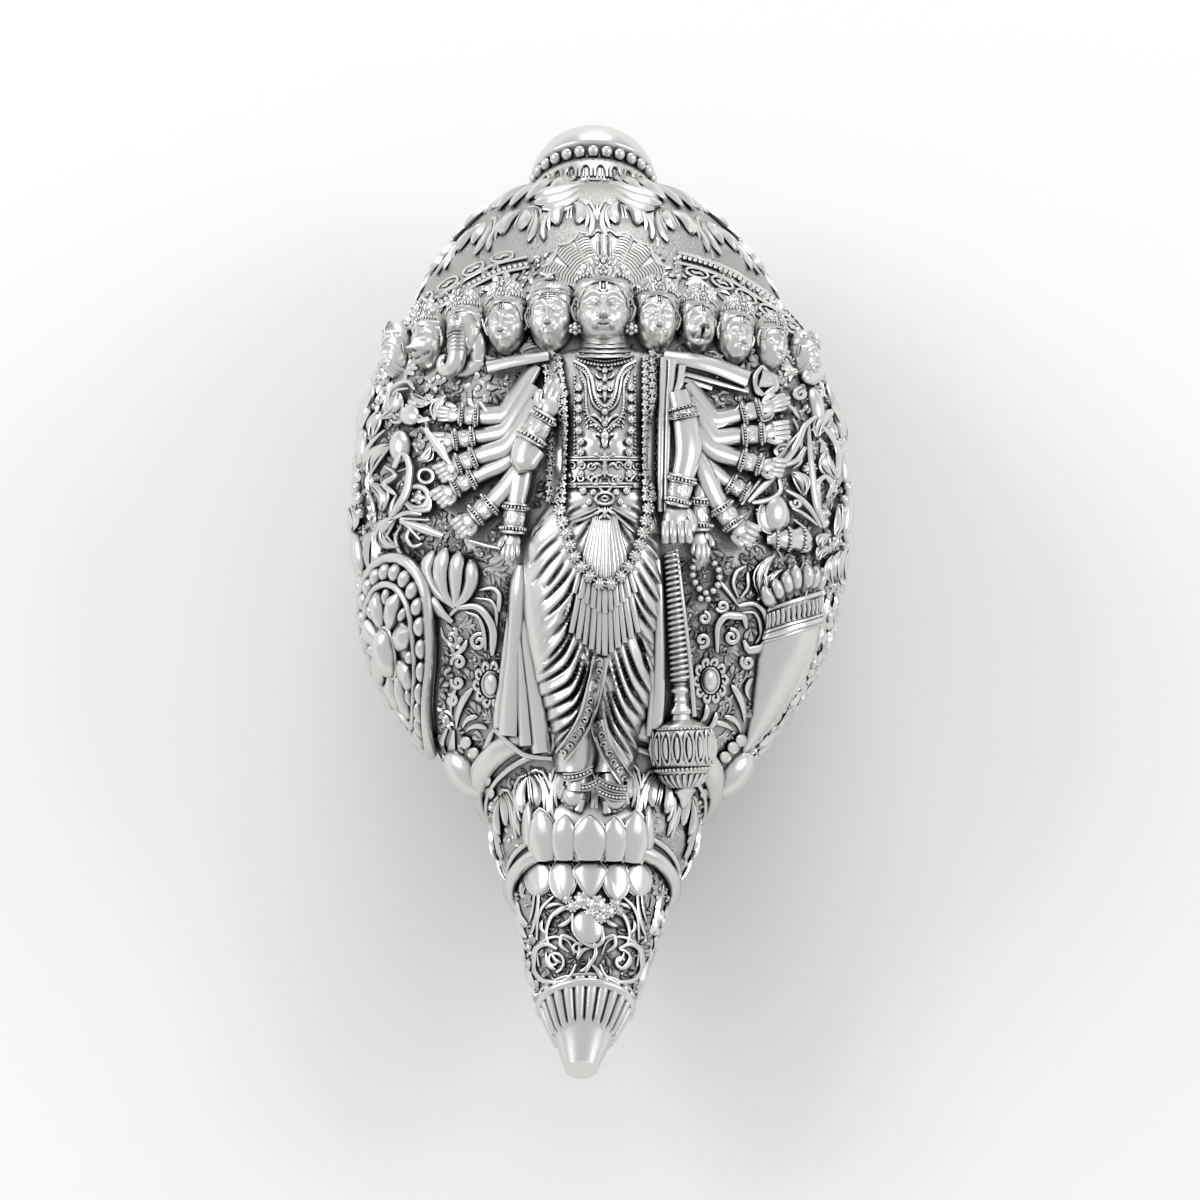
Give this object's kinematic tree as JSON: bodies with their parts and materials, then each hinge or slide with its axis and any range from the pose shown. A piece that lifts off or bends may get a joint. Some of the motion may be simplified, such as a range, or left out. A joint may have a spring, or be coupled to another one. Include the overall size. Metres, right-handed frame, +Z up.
{
  "type": "vishnu idol on a conch shell",
  "caption": "Cast conch-shaped idol that lies on a flat spot on its back, with a many-headed standing deity, arms, mace, wheel and lotus in high relief on its front.",
  "frame": {"origin": "on the flat spot on the back that the casting rests on, straight under the shell's axis at about the middle of its length", "axes": "+Y along the shell from its tip to the knob above the heads, +Z up out of the carved front, +X towards the flank that carries the small conch"},
  "size_m": [0.1228, 0.2599, 0.1033],
  "materials": {
    "antique_silver": "antique silver plating: polished high points over blackened recesses, with stippled ground between the scrolls"
  },
  "bodies": {
    "root": {"conch_idol": "antique_silver"}
  },
  "joints": []
}
